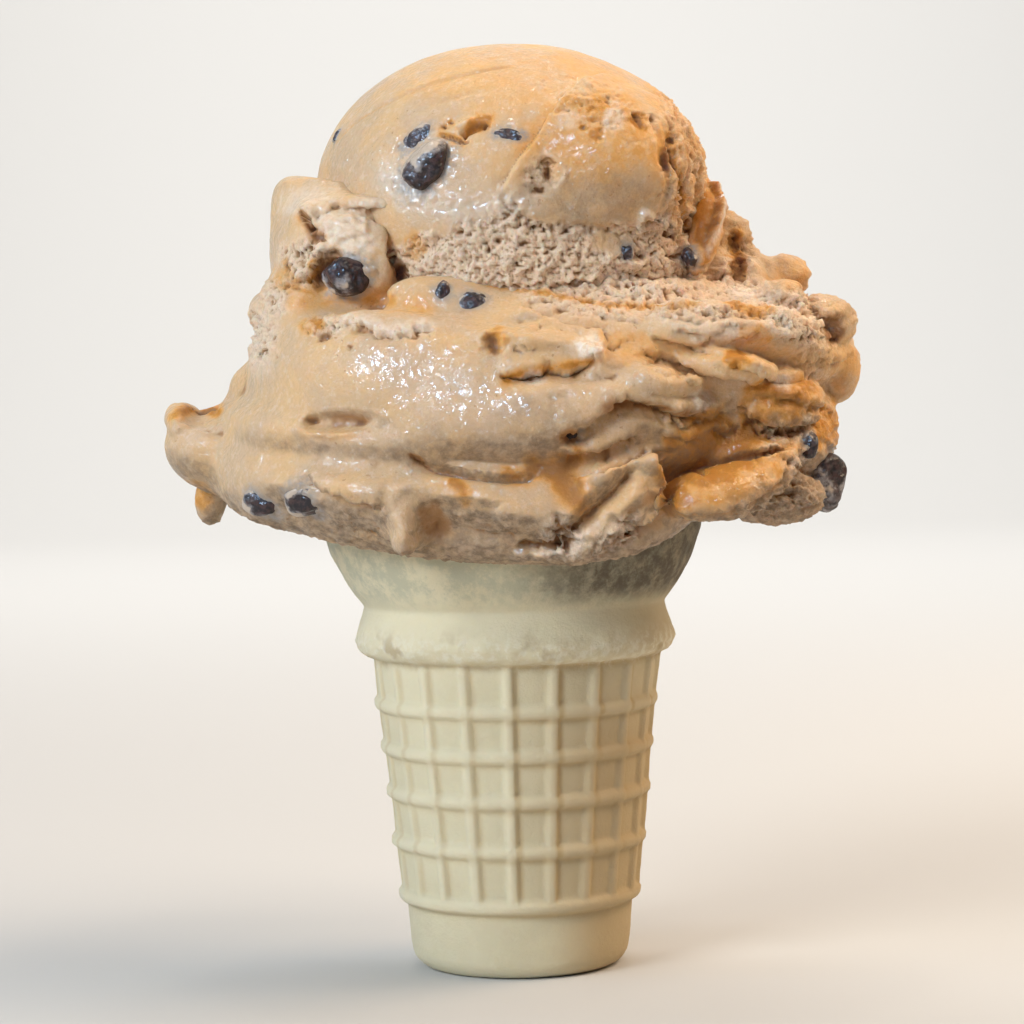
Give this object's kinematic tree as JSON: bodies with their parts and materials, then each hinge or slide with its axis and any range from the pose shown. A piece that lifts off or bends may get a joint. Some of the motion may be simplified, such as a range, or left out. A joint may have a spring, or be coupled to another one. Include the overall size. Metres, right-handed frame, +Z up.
{
  "type": "ice cream cone",
  "caption": "Flat-bottomed wafer cup cone with a waffle-patterned wall, heaped with a double scoop of coffee ice cream and fudge pieces.",
  "frame": {"origin": "centre of the wafer cup's flat base, at the lowest point of the cone", "axes": "+Z up the cup's axis, the shown side faces -Y, +X to the viewer's right"},
  "size_m": [0.1123, 0.0825, 0.1494],
  "materials": {
    "wafer": "dry baked wafer, pale yellow beige, matte and slightly porous",
    "coffee_ice_cream": "coffee ice cream, smooth and wet where it melts, crumbly and dull where it is torn, with caramel stains",
    "fudge": "dark fudge, glossy, with a thin film of melted ice cream"
  },
  "bodies": {
    "root": {"wafer_cup": "wafer", "scoop_lower": "coffee_ice_cream", "scoop_upper": "coffee_ice_cream", "fudge_dome": "fudge", "fudge_left": "fudge", "fudge_right": "fudge"}
  },
  "joints": []
}
